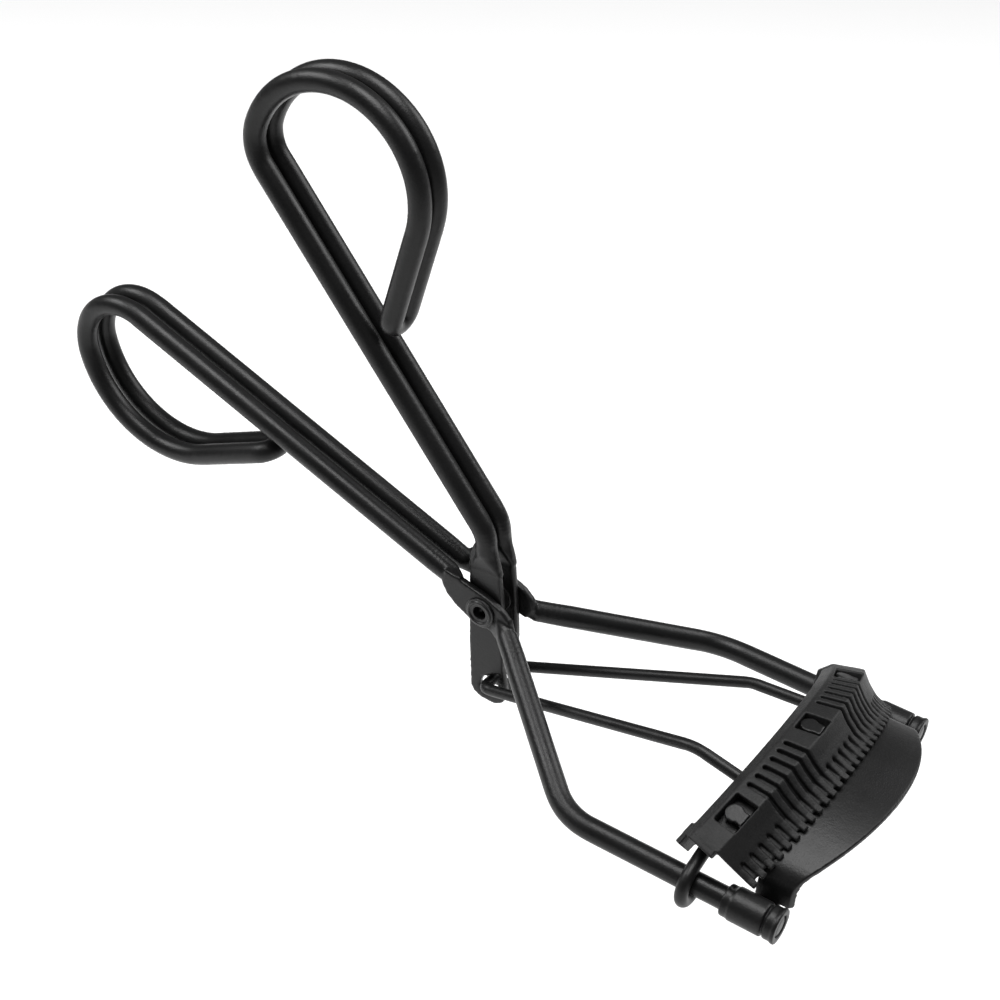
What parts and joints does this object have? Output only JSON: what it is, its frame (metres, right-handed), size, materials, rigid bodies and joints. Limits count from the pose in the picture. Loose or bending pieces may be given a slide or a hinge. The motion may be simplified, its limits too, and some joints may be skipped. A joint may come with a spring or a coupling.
{
  "type": "eyelash curler",
  "caption": "Scissor-action eyelash curler of doubled black wire, with finger loops, a padded jaw bar sliding on two guides, a clip-on lash comb and a fixed arched plate.",
  "frame": {"origin": "centre of the pivot, on the axis of the two hollow eyelets and midway between them", "axes": "+X along the two straight guides toward the jaws, +Y along the pivot axis, +Z toward the comb and the arched side of the jaws"},
  "size_m": [0.1145, 0.042, 0.0729],
  "materials": {
    "frame_wire": "satin black coated steel wire",
    "lever_wire": "satin black coated steel wire",
    "near_eyelet": "satin black coated rolled eyelet",
    "far_eyelet": "satin black coated rolled eyelet",
    "link_wire": "satin black coated thin wire",
    "jaw_bar": "satin black coated pressed sheet",
    "silicone_pad": "matte black silicone",
    "lash_comb": "matte black moulded plastic with a fine grain",
    "jaw_plate": "satin black coated arched sheet"
  },
  "bodies": {
    "frame": {"frame_wire": "frame_wire", "near_eyelet": "near_eyelet", "far_eyelet": "far_eyelet", "jaw_plate": "jaw_plate"},
    "lever": {"lever_wire": "lever_wire"},
    "slider": {"jaw_bar": "jaw_bar", "silicone_pad": "silicone_pad", "lash_comb": "lash_comb", "link_wire": "link_wire"}
  },
  "joints": [
    {"name": "lever_pivot", "type": "hinge", "parent": "frame", "child": "lever", "pos_m": [0, 0, 0], "axis": [0, -1, 0], "range_deg": [-20, 13.5]},
    {"name": "jaw_slide", "type": "slide", "parent": "frame", "child": "slider", "axis": [1, 0, 0], "range_m": [-0.0042, 0.00285]}
  ],
  "couplings": [
    {"joint": "jaw_slide", "follows": "lever_pivot", "m_per_rad": 0.0119}
  ]
}
